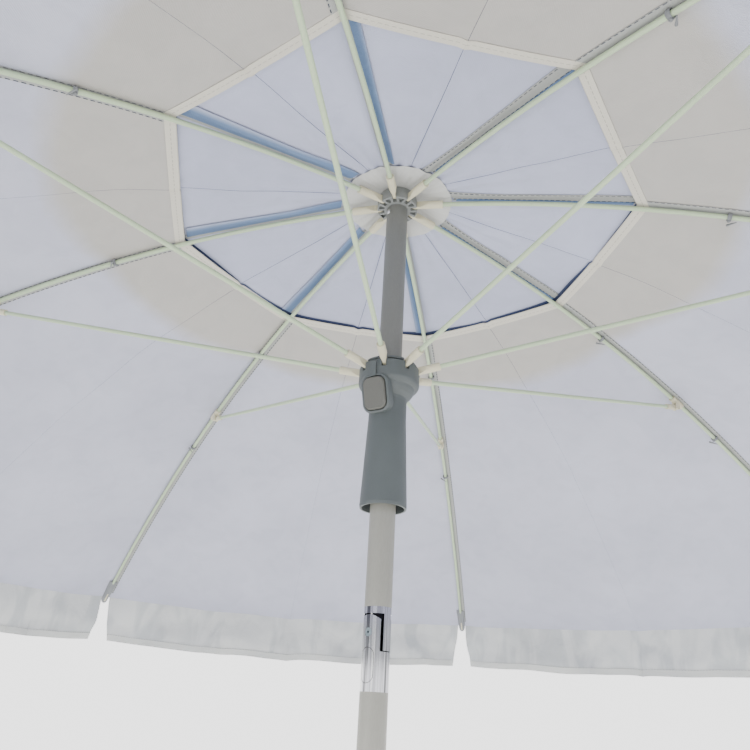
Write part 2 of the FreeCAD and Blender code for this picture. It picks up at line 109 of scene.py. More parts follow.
def bump(material, shader, height, strength, distance, after=None):
    node = addNode(material, "ShaderNodeBump")
    node.inputs["Strength"].default_value = strength
    node.inputs["Distance"].default_value = distance
    join(material, height, node.inputs["Height"])
    if after is not None:
        join(material, after, node.inputs["Normal"])
    join(material, node.outputs["Normal"], shader.inputs["Normal"])
    return node.outputs["Normal"]


def radiusFromPole(material):
    coords = addNode(material, "ShaderNodeTexCoord")
    split = addNode(material, "ShaderNodeSeparateXYZ")
    join(material, coords.outputs["Object"], split.inputs["Vector"])
    flat = addNode(material, "ShaderNodeCombineXYZ")
    join(material, split.outputs["X"], flat.inputs["X"])
    join(material, split.outputs["Y"], flat.inputs["Y"])
    length = addNode(material, "ShaderNodeVectorMath", operation="LENGTH")
    join(material, flat.outputs["Vector"], length.inputs[0])
    return length.outputs["Value"]


def shades(color, low, high):
    return tuple(c * low for c in color), tuple(min(c * high, 1.0) for c in color)


def finish(name, look):
    # slow colour drift, fine grain and uneven gloss
    material, shader = startMaterial(name, look["color"], look["rough"], look.get("metal", 0.0))
    coords = objectCoords(material, look.get("stretch", (1, 1, 1)))
    drift = addNode(material, "ShaderNodeTexNoise")
    drift.inputs["Scale"].default_value = look.get("driftScale", 14.0)
    drift.inputs["Detail"].default_value = 5.0
    grain = addNode(material, "ShaderNodeTexNoise")
    grain.inputs["Scale"].default_value = look.get("grainScale", 900.0)
    grain.inputs["Detail"].default_value = 3.0
    join(material, coords, drift.inputs["Vector"])
    join(material, coords, grain.inputs["Vector"])
    low, high = shades(look["color"], 1 - look.get("drift", 0.10), 1 + look.get("drift", 0.10))
    base = ramp(material, drift.outputs["Fac"], [(0.3, low), (0.7, high)])
    speck = addNode(material, "ShaderNodeMixRGB", blend_type="MULTIPLY")
    speck.inputs["Fac"].default_value = look.get("speck", 0.25)
    join(material, base, speck.inputs["Color1"])
    join(material, ramp(material, grain.outputs["Fac"], [(0.35, (0.72, 0.72, 0.72)), (0.6, (1, 1, 1))]),
         speck.inputs["Color2"])
    shown = speck.outputs["Color"]
    if "paintedReflection" in look:    # painted reflection: long dark and light bands along the tube, painted into the colour in place of the room mirrored in polished plate
        reflectionBands = addNode(material, "ShaderNodeTexNoise")
        reflectionBands.inputs["Scale"].default_value = look["paintedReflectionScale"]
        reflectionBands.inputs["Detail"].default_value = 2.0
        join(material, objectCoords(material, (1, 1, 0.02)), reflectionBands.inputs["Vector"])
        paintedReflections = addNode(material, "ShaderNodeMixRGB", blend_type="MULTIPLY")
        paintedReflections.inputs["Fac"].default_value = look["paintedReflection"]
        join(material, shown, paintedReflections.inputs["Color1"])
        join(material, ramp(material, reflectionBands.outputs["Fac"], [(0.36, (0.10, 0.10, 0.11)), (0.44, (0.75, 0.75, 0.78)),
                                                          (0.52, (0.42, 0.42, 0.45)), (0.6, (1, 1, 1))]),
             paintedReflections.inputs["Color2"])
        shown = paintedReflections.outputs["Color"]
    if "paintedShadeInside" in look:    # painted shade: faces nearer the pole's axis than this are painted near-black, standing in for the shade inside the joint's gap
        inside = addNode(material, "ShaderNodeMath", operation="LESS_THAN")
        join(material, radiusFromPole(material), inside.inputs[0])
        inside.inputs[1].default_value = look["paintedShadeInside"]
        paintedInsideShade = addNode(material, "ShaderNodeMixRGB")
        join(material, inside.outputs[0], paintedInsideShade.inputs["Fac"])
        join(material, shown, paintedInsideShade.inputs["Color1"])
        paintedInsideShade.inputs["Color2"].default_value = (0.015, 0.015, 0.018, 1)
        shown = paintedInsideShade.outputs["Color"]
    join(material, shown, shader.inputs["Base Color"])
    gloss = addNode(material, "ShaderNodeMapRange")
    gloss.inputs["To Min"].default_value = max(look["rough"] - look.get("glossDrift", 0.08), 0.03)
    gloss.inputs["To Max"].default_value = look["rough"] + look.get("glossDrift", 0.08)
    join(material, drift.outputs["Fac"], gloss.inputs["Value"])
    join(material, gloss.outputs["Result"], shader.inputs["Roughness"])
    bump(material, shader, grain.outputs["Fac"], look.get("bump", 0.25), look.get("bumpSize", 0.0003))
    return material


finishes = {
    "darkTube": {"color": (0.17, 0.172, 0.16), "rough": 0.42, "metal": 0.25, "grainScale": 1500, "bump": 0.12,
                 "stretch": (1, 1, 0.12)},
    "lightTube": {"color": (0.29, 0.285, 0.25), "rough": 0.38, "metal": 0.2, "grainScale": 1500, "bump": 0.12,
                  "stretch": (1, 1, 0.12)},
    "scuffedTube": {"color": (0.53, 0.52, 0.47), "rough": 0.45, "metal": 0.2, "grainScale": 600, "bump": 0.3,
                    "stretch": (1, 1, 0.3), "drift": 0.16, "speck": 0.4},
    "brightMetal": {"color": (0.78, 0.78, 0.79), "rough": 0.13, "metal": 1.0, "grainScale": 700, "bump": 0.05,
                    "stretch": (1, 1, 0.06), "drift": 0.04, "speck": 0.1, "glossDrift": 0.05,
                    "paintedReflection": 0.9, "paintedReflectionScale": 130, "paintedShadeInside": 0.0131},
    "rivetZinc": {"color": (0.22, 0.27, 0.29), "rough": 0.4, "metal": 0.7, "grainScale": 900, "bump": 0.2},
    "wireSteel": {"color": (0.55, 0.55, 0.55), "rough": 0.3, "metal": 1.0, "grainScale": 1500, "bump": 0.1},
    "slatePlastic": {"color": (0.082, 0.095, 0.096), "rough": 0.5, "grainScale": 1700, "bump": 0.35, "speck": 0.3},
    "capPlastic": {"color": (0.045, 0.05, 0.055), "rough": 0.5, "grainScale": 1700, "bump": 0.35},
    "buttonPlastic": {"color": (0.10, 0.10, 0.088), "rough": 0.55, "grainScale": 1200, "bump": 0.6,
                      "bumpSize": 0.0004, "speck": 0.45},
    "creamPlastic": {"color": (0.60, 0.56, 0.40), "rough": 0.42, "grainScale": 1300, "bump": 0.2, "speck": 0.15},
    "hubPlastic": {"color": (0.20, 0.21, 0.205), "rough": 0.48, "grainScale": 1500, "bump": 0.3},
    "glassRod": {"color": (0.43, 0.53, 0.35), "rough": 0.3, "grainScale": 420, "bump": 0.12, "drift": 0.03,
                 "speck": 0.15, "driftScale": 9, "glossDrift": 0.03},
    "sandPlastic": {"color": (0.07, 0.08, 0.085), "rough": 0.6, "grainScale": 500, "bump": 0.5, "drift": 0.25,
                    "speck": 0.5},
}
made = {name: finish(name, look) for name, look in finishes.items()}


def weave(material, shader, threads, strength):
    # over-and-under threads along the piece's own UV map, which is in metres
    coords = addNode(material, "ShaderNodeTexCoord")
    split = addNode(material, "ShaderNodeSeparateXYZ")
    join(material, coords.outputs["UV"], split.inputs["Vector"])
    lines = []
    for axis in ("X", "Y"):
        turns = addNode(material, "ShaderNodeMath", operation="MULTIPLY")
        turns.inputs[1].default_value = threads * math.pi
        join(material, split.outputs[axis], turns.inputs[0])
        wave = addNode(material, "ShaderNodeMath", operation="SINE")
        join(material, turns.outputs[0], wave.inputs[0])
        lines.append(wave.outputs[0])
    product = addNode(material, "ShaderNodeMath", operation="MULTIPLY")
    join(material, lines[0], product.inputs[0])
    join(material, lines[1], product.inputs[1])
    return bump(material, shader, product.outputs[0], strength, 0.0002)


def clothMaterial(name, look):
    material, shader = startMaterial(name, look["color"], look["rough"])
    shader.inputs["Sheen Weight"].default_value = look.get("sheen", 0.15)
    coords = objectCoords(material)
    drift = addNode(material, "ShaderNodeTexNoise")
    drift.inputs["Scale"].default_value = 5.0
    drift.inputs["Detail"].default_value = 6.0
    join(material, coords, drift.inputs["Vector"])
    low, high = shades(look["color"], 0.93, 1.05)
    base = ramp(material, drift.outputs["Fac"], [(0.35, low), (0.65, high)])
    if "paintedLightThrough" in look:      # painted light: paler towards the outer side of the strip, standing in for the light that comes through where the cloth lies in one layer
        edge = addNode(material, "ShaderNodeTexCoord")
        across = addNode(material, "ShaderNodeSeparateXYZ")
        join(material, edge.outputs["UV"], across.inputs["Vector"])
        paler = addNode(material, "ShaderNodeMapRange")
        paler.inputs["From Min"].default_value = 0.001
        paler.inputs["From Max"].default_value = 0.012
        join(material, across.outputs["X"], paler.inputs["Value"])
        mix = addNode(material, "ShaderNodeMixRGB")
        join(material, paler.outputs["Result"], mix.inputs["Fac"])
        join(material, base, mix.inputs["Color1"])
        mix.inputs["Color2"].default_value = (*look["paintedLightThrough"], 1)
        base = mix.outputs["Color"]
    if "band" in look:      # painted shadow: the ring under the vent cap, where less light comes through the double layer, is painted warmer and greyer
        edge = addNode(material, "ShaderNodeMath", operation="MULTIPLY_ADD")
        edge.inputs[1].default_value = 0.05
        join(material, drift.outputs["Fac"], edge.inputs[0])
        join(material, radiusFromPole(material), edge.inputs[2])
        share = ramp(material, edge.outputs[0], [(look["bandEnd"], (1, 1, 1)), (look["bandEnd"] + 0.03, (0, 0, 0))])
        mix = addNode(material, "ShaderNodeMixRGB")
        join(material, share, mix.inputs["Fac"])
        join(material, base, mix.inputs["Color1"])
        mix.inputs["Color2"].default_value = (*look["band"], 1)
        base = mix.outputs["Color"]
    crease = addNode(material, "ShaderNodeTexNoise")
    crease.inputs["Scale"].default_value = look.get("creaseScale", 26.0)
    crease.inputs["Detail"].default_value = 4.0
    crease.inputs["Distortion"].default_value = 0.6
    join(material, coords, crease.inputs["Vector"])
    # painted shade: the wrinkle noise that drives the bump also darkens the colour in its hollows
    paintedCreaseShade = addNode(material, "ShaderNodeMixRGB", blend_type="MULTIPLY")
    paintedCreaseShade.inputs["Fac"].default_value = 0.5
    join(material, base, paintedCreaseShade.inputs["Color1"])
    join(material, ramp(material, crease.outputs["Fac"], [(0.38, (0.9, 0.9, 0.91)), (0.55, (1, 1, 1))]),
         paintedCreaseShade.inputs["Color2"])
    shown = paintedCreaseShade.outputs["Color"]
    if "paintedFoldScale" in look:     # painted shade: soft folds that hang down from the sewn edge, drawn only as darker vertical bands in the colour
        foldShadeNoise = addNode(material, "ShaderNodeTexNoise")
        foldShadeNoise.inputs["Scale"].default_value = look["paintedFoldScale"]
        foldShadeNoise.inputs["Detail"].default_value = 2.5
        foldShadeNoise.inputs["Distortion"].default_value = 1.2
        join(material, objectCoords(material, (1, 1, 0.35)), foldShadeNoise.inputs["Vector"])
        shade = addNode(material, "ShaderNodeMixRGB", blend_type="MULTIPLY")
        shade.inputs["Fac"].default_value = 1.0
        join(material, shown, shade.inputs["Color1"])
        join(material, ramp(material, foldShadeNoise.outputs["Fac"], [(0.40, (0.80, 0.82, 0.84)), (0.56, (1, 1, 1))]),
             shade.inputs["Color2"])
        shown = shade.outputs["Color"]
    join(material, shown, shader.inputs["Base Color"])
    gloss = addNode(material, "ShaderNodeMapRange")
    gloss.inputs["To Min"].default_value = look["rough"] - 0.1
    gloss.inputs["To Max"].default_value = look["rough"] + 0.1
    join(material, crease.outputs["Fac"], gloss.inputs["Value"])
    join(material, gloss.outputs["Result"], shader.inputs["Roughness"])
    threads = weave(material, shader, look.get("threads", 900.0), 0.35)
    bump(material, shader, crease.outputs["Fac"], look.get("wrinkle", 0.3), 0.004, threads)
    return material


clothLooks = {
    "canopyOutside": {"color": (0.007, 0.032, 0.15), "rough": 0.72, "sheen": 0.02},
    "canopyInside": {"color": (0.44, 0.45, 0.55), "rough": 0.55, "band": (0.40, 0.38, 0.355), "bandEnd": 0.435},
    "ventInside": {"color": (0.40, 0.42, 0.55), "rough": 0.55, "wrinkle": 0.45},
    "valanceInside": {"color": (0.60, 0.61, 0.60), "rough": 0.5, "wrinkle": 1.0, "creaseScale": 15.0, "paintedFoldScale": 17.0},
    "bindingTape": {"color": (0.56, 0.53, 0.47), "rough": 0.7, "threads": 500.0},
    "patchCloth": {"color": (0.50, 0.50, 0.49), "rough": 0.7, "threads": 500.0},
    "blueCloth": {"color": (0.10, 0.17, 0.31), "rough": 0.7, "threads": 700.0, "paintedLightThrough": (0.36, 0.39, 0.52)},
    "navyCloth": {"color": (0.02, 0.035, 0.10), "rough": 0.75, "threads": 700.0},
    "pocketCloth": {"color": (0.20, 0.21, 0.22), "rough": 0.75, "threads": 500.0},
}
cloths = {name: clothMaterial(name, look) for name, look in clothLooks.items()}


def stitchedTape(name, color, thread, look):
    # a woven tape with a dashed row of thread near each edge; U is across in metres, V is along
    material, shader = startMaterial(name, color, 0.7)
    coords = addNode(material, "ShaderNodeTexCoord")
    split = addNode(material, "ShaderNodeSeparateXYZ")
    join(material, coords.outputs["UV"], split.inputs["Vector"])

    def step(source, operation, value):
        node = addNode(material, "ShaderNodeMath", operation=operation)
        join(material, source, node.inputs[0])
        node.inputs[1].default_value = value
        return node.outputs[0]

    fromEdge = step(step(split.outputs["X"], "ABSOLUTE", 0), "SUBTRACT", look["row"])
    onRow = step(step(fromEdge, "ABSOLUTE", 0), "LESS_THAN", look["threadHalf"])
    along = step(split.outputs["Y"], "PINGPONG", look["pitch"])
    onDash = step(along, "LESS_THAN", look["pitch"] * 0.62)
    both = addNode(material, "ShaderNodeMath", operation="MULTIPLY")
    join(material, onRow, both.inputs[0])
    join(material, onDash, both.inputs[1])
    mix = addNode(material, "ShaderNodeMixRGB")
    join(material, both.outputs[0], mix.inputs["Fac"])
    mix.inputs["Color1"].default_value = (*color, 1)
    mix.inputs["Color2"].default_value = (*thread, 1)
    join(material, mix.outputs["Color"], shader.inputs["Base Color"])
    threads = weave(material, shader, 600.0, 0.4)
    bump(material, shader, both.outputs[0], 0.8, 0.0005, threads)
    return material


seamLook = {"row": 0.0062, "threadHalf": 0.0006, "pitch": 0.0035}
# the tape is darker than the cloth: partly its own colour, partly painted shadow beside the rib
seamTapeMaterial = stitchedTape("seamTape", (0.335, 0.34, 0.33), (0.03, 0.035, 0.06), seamLook)
bindingLook = {"row": 0.0040, "threadHalf": 0.0004, "pitch": 0.0032}
bindingMaterial = stitchedTape("bindingStitched", (0.56, 0.53, 0.46), (0.38, 0.36, 0.32), bindingLook)
hemLook = {"row": 0.0068, "threadHalf": 0.0005, "pitch": 0.0030}
hemMaterial = stitchedTape("hemBand", (0.56, 0.57, 0.55), (0.25, 0.25, 0.25), hemLook)
print("materials made")


# cloth pieces
def select(piece):
    bpy.ops.object.select_all(action="DESELECT")
    piece.select_set(True)
    bpy.context.view_layer.objects.active = piece


def applyModifiers(piece):
    select(piece)
    for modifier in list(piece.modifiers):
        bpy.ops.object.modifier_apply(modifier=modifier.name)


def gridSheet(name, rows, uvRows, materials, thickness):
    # rows of points make the upper face, and the cloth's thickness goes under it
    mesh = bpy.data.meshes.new(name)
    across = len(rows[0])
    points = [p for row in rows for p in row]
    faces = []
    for i in range(len(rows) - 1):
        for j in range(across - 1):
            a = i * across + j
            faces.append((a, a + across, a + across + 1, a + 1))
    mesh.from_pydata([tuple(p) for p in points], [], faces)
    uvLayer = mesh.uv_layers.new(name="UVMap")
    flatUv = [uv for row in uvRows for uv in row]
    for loop in mesh.loops:
        uvLayer.data[loop.index].uv = flatUv[loop.vertex_index]
    piece = bpy.data.objects.new(name, mesh)
    bpy.context.scene.collection.objects.link(piece)
    for material in materials:
        mesh.materials.append(material)
    area = sum(polygon.area for polygon in mesh.polygons)
    select(piece)
    bpy.ops.object.mode_set(mode="EDIT")
    bpy.ops.mesh.select_all(action="SELECT")
    bpy.ops.mesh.remove_doubles(threshold=0.000001)
    bpy.ops.object.mode_set(mode="OBJECT")
    wall = piece.modifiers.new("thickness", "SOLIDIFY")
    wall.thickness = thickness
    wall.offset = -1
    wall.material_offset = len(materials) - 1
    wall.use_even_offset = True
    applyModifiers(piece)
    bpy.ops.object.shade_smooth_by_angle(angle=math.radians(35))
    return piece, area


def place(angle, x, y, z):
    return Vector((x * math.cos(angle) - y * math.sin(angle), x * math.sin(angle) + y * math.cos(angle), z))


def ripple(p, size, amount, seed):
    return amount * noise.noise(Vector((p.x / size, p.y / size, p.z / size + seed)))


def acrossGore(r, share, dip):
    # share runs from -1 to 1 between the middles of the two panels beside a rib
    side = abs(share)
    x = r * (1 - side * math.sin(halfStep) ** 2)
    y = r * share * math.cos(halfStep) * math.sin(halfStep)
    return x, y, -dip * side * (2 - side)


cloth = {"thickness": 0.0008, "acrossSteps": 32, "mainSteps": 40, "ventSteps": 22, "dip": 0.016,
         "creaseDepth": 0.0022, "creaseWidth": 0.05, "rippleSize": 0.13, "ripple": 0.0045}
tipPull = {"share": 0.16, "width": 0.07, "from": 0.95, "to": 1.13, "size": 0.028, "amount": 0.0016}


def creaseLine(share):
    return cloth["creaseDepth"] * max(0.0, 1 - abs(abs(share) - 1) / cloth["creaseWidth"])


def mainPoint(angle, r, share):
    # point on the upper face of the main cloth
    x, y, dz = acrossGore(r, share, cloth["dip"] * (r / shape["canopyRadius"]))
    p = place(angle, x, y, ribHeight(r) + shape["clothGap"] + cloth["thickness"] + dz)
    loose = smooth(0.0, 0.25, abs(share)) * smooth(shape["ventRadius"], shape["ventRadius"] + 0.07, r)
    pull = math.exp(-((abs(share) - tipPull["share"]) / tipPull["width"]) ** 2)     # drawn in at the tip
    pull *= smooth(tipPull["from"], tipPull["to"], r)
    p.z += ripple(p, cloth["rippleSize"], cloth["ripple"], 3.0) * loose - creaseLine(share)
    p.z += ripple(p, tipPull["size"], tipPull["amount"], 9.0) * pull
    return p


def clothRows(angle, radii, point, steps):
    rows, uvRows = [], []
    for r in radii:
        row, uvRow = [], []
        for j in range(steps + 1):
            share = -1 + 2 * j / steps
            row.append(point(angle, r, share))
            uvRow.append((r * share * math.cos(halfStep) * math.sin(halfStep), r))
        rows.append(row)
        uvRows.append(uvRow)
    return rows, uvRows


def between(start, end, steps):
    return [start + (end - start) * i / steps for i in range(steps + 1)]


def mainCloth(index):
    radii = between(shape["ventRadius"], shape["canopyRadius"], cloth["mainSteps"])
    rows, uvRows = clothRows(ribAngle(index), radii, mainPoint, cloth["acrossSteps"])
    return gridSheet(f"mainCloth{index}", rows, uvRows, [cloths["canopyOutside"], cloths["canopyInside"]],
                     cloth["thickness"])


vent = {"inner": 0.024, "dip": 0.007, "pleats": 4, "pleatDepth": 0.0013, "rippleSize": 0.09, "ripple": 0.0035}
ventProfile = [(0.024, 0.0166), (0.070, 0.0100), (0.150, 0.0072), (0.230, 0.0085), (0.306, 0.0125),
               (0.370, 0.0125), (0.425, 0.0120)]


def ventHeight(r):
    for (r0, g0), (r1, g1) in zip(ventProfile, ventProfile[1:]):
        if r <= r1:
            t = (r - r0) / (r1 - r0)
            base = shape["hubZ"] if r < 0.07 else ribHeight(r)
            return base + g0 + (g1 - g0) * t
    return ribHeight(r) + ventProfile[-1][1]


def ventPoint(angle, r, share):
    # point on the upper face of the vent cap, with pleats running out from the hub
    x, y, dz = acrossGore(r, share, vent["dip"] * smooth(0.05, 0.3, r))
    p = place(angle, x, y, ventHeight(r) + cloth["thickness"] + dz)
    pleat = math.cos(math.pi * vent["pleats"] * abs(share)) * vent["pleatDepth"]
    pleat = pleat * smooth(0.03, 0.07, r) * smooth(0.30, 0.12, r)
    loose = smooth(0.0, 0.3, abs(share)) * smooth(0.08, 0.2, r)
    rise = pleat + ripple(p, vent["rippleSize"], vent["ripple"], 7.0) * loose
    p.z += rise - creaseLine(share) * smooth(0.05, 0.12, r)
    return p


def ventCloth(index):
    radii = between(vent["inner"], shape["capRadius"], cloth["ventSteps"])
    rows, uvRows = clothRows(ribAngle(index), radii, ventPoint, cloth["acrossSteps"])
    return gridSheet(f"ventCloth{index}", rows, uvRows, [cloths["canopyOutside"], cloths["ventInside"]],
                     cloth["thickness"])


valance = {"drop": 0.095, "notchTop": 0.010, "notchBottom": 0.024, "notchCurve": 1.3, "rows": 14, "columns": 26,
           "flare": 0.004, "wave": 0.015, "waveSize": 0.085, "smallWave": 0.006, "smallWaveSize": 0.032,
           "flutter": 0.004, "flutterRate": 60, "edgeLift": 0.004, "hemRows": 3, "hemInset": 0.0009,
           "hemThickness": 0.0012}


def valanceFlap(index, side):
    # one half of the flap between this rib and the middle of the panel beside it
    angle = ribAngle(index)
    half = shape["canopyRadius"] * math.sin(halfStep)
    rows, uvRows = [], []
    for i in range(valance["rows"] + 1):
        down = i / valance["rows"]
        row, uvRow = [], []
        for j in range(valance["columns"] + 1):
            widening = valance["notchBottom"] - valance["notchTop"]
            start = valance["notchTop"] + widening * down ** valance["notchCurve"]
            along = start + (half - start) * j / valance["columns"]
            share = along / half
            x, y, _ = acrossGore(shape["canopyRadius"], side * share, 0)
            z = mainPoint(angle, shape["canopyRadius"], side * share).z - valance["drop"] * down
            p = place(angle, x, y, z)
            outward = place(angle, math.cos(halfStep), side * math.sin(halfStep), 0)
            sway = ripple(p, valance["waveSize"], valance["wave"], 1.0)
            sway += ripple(p, valance["smallWaveSize"], valance["smallWave"], 5.0)
            phase = valance["flutterRate"] * along + 9 * noise.noise(Vector((along * 5, index, side)))
            sway += valance["flutter"] * math.sin(phase) * down
            p += outward * (sway * smooth(0.0, 0.7, down) - valance["flare"] * down)
            p.z += valance["edgeLift"] * noise.noise(Vector((p.x * 7, p.y * 7, 2.0))) * down
            row.append(p)
            uvRow.append((side * along, -down * valance["drop"]))
        rows.append(row)
        uvRows.append(uvRow)
    if side < 0:
        rows = [list(reversed(row)) for row in rows]
        uvRows = [list(reversed(row)) for row in uvRows]
    name = f"valance{index}{'left' if side > 0 else 'right'}"
    flap, area = gridSheet(name, rows, uvRows, [cloths["canopyOutside"], cloths["valanceInside"]],
                           cloth["thickness"])
    # the hem is the same cloth turned up twice, so it is a narrow thicker strip inside
    outward = place(angle, math.cos(halfStep), side * math.sin(halfStep), 0)
    last = -valance["hemRows"]
    hemRows = [[p - outward * valance["hemInset"] for p in row] for row in rows[last:]]
    hemUv = [[(v + valance["drop"] * (1 - 1 / valance["rows"]), u) for u, v in row] for row in uvRows[last:]]
    hem, _ = gridSheet(name + "Hem", hemRows, hemUv, [hemMaterial], valance["hemThickness"])
    return flap, area, hem


strip = {"columns": 6, "thickness": 0.0006}


def ribStrip(name, index, radii, yFrom, yTo, gap, material, point, taper=0.0):
    # a strip under the cloth along one rib; gap is its depth under the cloth's lower face
    angle = ribAngle(index)
    rows, uvRows = [], []
    for i, r in enumerate(radii):
        row, uvRow = [], []
        narrow = 1 - taper * (1 - i / (len(radii) - 1))
        for j in range(strip["columns"] + 1):
            y = yFrom + (yTo - yFrom) * narrow * j / strip["columns"]
            p = point(angle, r, y / (r * math.cos(halfStep) * math.sin(halfStep)))
            p.z -= cloth["thickness"] + gap
            row.append(p)
            uvRow.append((y - (yFrom + yTo) / 2, r))
        rows.append(row)
        uvRows.append(uvRow)
    return gridSheet(name, rows, uvRows, [material], strip["thickness"])[0]


binding = {"profile": [(0.012, 0.0012), (-0.001, 0.0012), (-0.002, 0.0), (-0.001, -0.0012), (0.012, -0.0012)],
           "middle": 0.0015, "thickness": 0.0004}


def bindingPiece(index):
    # folded tape round the inner edge of the main cloth
    angle = ribAngle(index)
    rows, uvRows = [], []
    for out, up in binding["profile"]:
        row, uvRow = [], []
        for j in range(cloth["acrossSteps"] + 1):
            share = -1 + 2 * j / cloth["acrossSteps"]
            r = shape["ventRadius"] + out
            x, y, dz = acrossGore(r, share, cloth["dip"] * (r / shape["canopyRadius"]))
            z = ribHeight(r) + shape["clothGap"] + cloth["thickness"] / 2 + dz + up - creaseLine(share)
            row.append(place(angle, x, y, z))
            uvRow.append((out - binding["middle"], y))
        rows.append(row)
        uvRows.append(uvRow)
    rows.reverse()
    uvRows.reverse()
    return gridSheet(f"ventBinding{index}", rows, uvRows, [bindingMaterial], binding["thickness"])[0]


turnedEdge = {"shownOn": (4, 5, 6), "shown": 0.3022, "hidden": 0.3046, "outer": 0.326, "gap": 0.0012,
              "thickness": 0.0005}


def blueEdge(index):
    # turned edge of the outer cloth under the vent cap, seen past the binding on some panels
    angle = ribAngle(index)
    inner = turnedEdge["shown"] if index in turnedEdge["shownOn"] else turnedEdge["hidden"]
    rows, uvRows = [], []
    for out in (inner, turnedEdge["outer"]):
        row, uvRow = [], []
        for j in range(cloth["acrossSteps"] + 1):
            share = -1 + 2 * j / cloth["acrossSteps"]
            p = ventPoint(angle, out, share)
            p.z -= cloth["thickness"] + turnedEdge["gap"]
            row.append(p)
            uvRow.append((out, p.y))
        rows.append(row)
        uvRows.append(uvRow)
    return gridSheet(f"ventEdge{index}", rows, uvRows, [cloths["navyCloth"]], turnedEdge["thickness"])[0]


tieShape = {"radii": (0.406, 0.690), "bandRadius": 0.0041, "bandThickness": 0.0008, "stretch": (1.0, 1.15, 3.2),
            "knotRadius": 0.0022, "knotPlace": (0.0048, 0.0012, 0), "tailBase": 0.0016, "tailEnd": 0.0005,
            "tailLength": 0.014, "tailPlace": (0.0062, 0.004, 0.004), "tailTurn": (0.9, 0.3, 0)}


def clothTie(index, number):
    # band that ties the seam tape round the rib, with a small knot
    angle, r = ribAngle(index), tieShape["radii"][number - 1]
    slope = math.atan(shape["ribSlope"] + 2 * shape["ribBend"] * (r - shape["pivotRadius"]))
    bpy.ops.object.select_all(action="DESELECT")
    bpy.ops.mesh.primitive_torus_add(major_segments=28, minor_segments=8, major_radius=tieShape["bandRadius"],
                                     minor_radius=tieShape["bandThickness"])
    tie = bpy.context.active_object
    tie.name = f"tie{index}{number}"
    bpy.ops.object.mode_set(mode="EDIT")
    bpy.ops.mesh.select_all(action="SELECT")
    bpy.ops.transform.resize(value=tieShape["stretch"])
    bpy.ops.object.mode_set(mode="OBJECT")
    bpy.ops.mesh.primitive_uv_sphere_add(segments=14, ring_count=8, radius=tieShape["knotRadius"],
                                         location=tieShape["knotPlace"])
    knot = bpy.context.active_object
    bpy.ops.mesh.primitive_cone_add(vertices=10, radius1=tieShape["tailBase"], radius2=tieShape["tailEnd"],
                                    depth=tieShape["tailLength"], location=tieShape["tailPlace"],
                                    rotation=tieShape["tailTurn"])
    tail = bpy.context.active_object
    bpy.ops.object.select_all(action="DESELECT")
    for part in (knot, tail, tie):
        part.select_set(True)
    bpy.context.view_layer.objects.active = tie
    bpy.ops.object.join()
    turn = Matrix.Rotation(angle, 4, "Z") @ Matrix.Translation((r, 0, ribHeight(r))) \
        @ Matrix.Rotation(math.pi / 2 + slope, 4, "Y")
    tie.data.transform(turn)
    tie.matrix_world = Matrix.Identity(4)
    tie.data.materials.append(cloths["pocketCloth"])
    tie.data.polygons.foreach_set("material_index", [0] * len(tie.data.polygons))
    select(tie)
    bpy.ops.object.shade_smooth_by_angle(angle=math.radians(50))
    return tie


pocket = {"start": 1.098, "length": 0.056, "width": 0.0075, "widening": 0.003, "depth": 0.0106, "mouth": 0.7,
          "steps": 8, "roundSteps": 12, "thickness": 0.0006}


def tipPocket(index):
    # reinforced corner that the rib's tip cap pushes into
    angle = ribAngle(index)
    rows, uvRows = [], []
    for i in range(pocket["steps"] + 1):
        r = pocket["start"] + pocket["length"] * i / pocket["steps"]
        row, uvRow = [], []
        for j in reversed(range(pocket["roundSteps"] + 1)):
            turn = math.pi * j / pocket["roundSteps"]
            width = pocket["width"] + pocket["widening"] * (1 - i / pocket["steps"])
            y = -width * math.cos(turn)
            depth = pocket["depth"] * math.sin(turn) * (1.0 if i else pocket["mouth"])
            z = ribHeight(r) + shape["clothGap"] - depth
            row.append(place(angle, r, y, z))
            uvRow.append((y, r))
        rows.append(row)
        uvRows.append(uvRow)
    return gridSheet(f"tipPocket{index}", rows, uvRows, [cloths["pocketCloth"]], pocket["thickness"])[0]


crown = {"rings": ((0.022, 0.0152), (0.030, 0.0135), (0.038, 0.0110), (0.046, 0.0090), (0.054, 0.0074),
                   (0.063, 0.0060), (0.0725, 0.0050)),
         "columns": 240, "pleats": 30, "pleatDepth": 0.0010, "edgeWave": 0.0006, "thickness": 0.0006}


def crownPatch():
    # round reinforcement between the hub and the vent cap, gathered round the hub
    rows, uvRows = [], []
    for r, up in crown["rings"]:
        row, uvRow = [], []
        for j in range(crown["columns"] + 1):
            angle = 2 * math.pi * j / crown["columns"]
            uneven = 0.6 + 0.8 * noise.noise(Vector((2 * math.cos(angle), 2 * math.sin(angle), 4.0)))
            turns = math.cos(crown["pleats"] * angle + 2 * math.sin(3 * angle))
            pleat = crown["pleatDepth"] * uneven * turns * smooth(0.026, 0.045, r)
            edge = r + (crown["edgeWave"] * math.cos(11 * angle) if r > 0.06 else 0)
            row.append(Vector((edge * math.cos(angle), edge * math.sin(angle), shape["hubZ"] + up + pleat)))
            uvRow.append((r, angle * 0.05))
        rows.append(row)
        uvRows.append(uvRow)
    return gridSheet("crownPatch", rows, uvRows, [cloths["patchCloth"]], crown["thickness"])


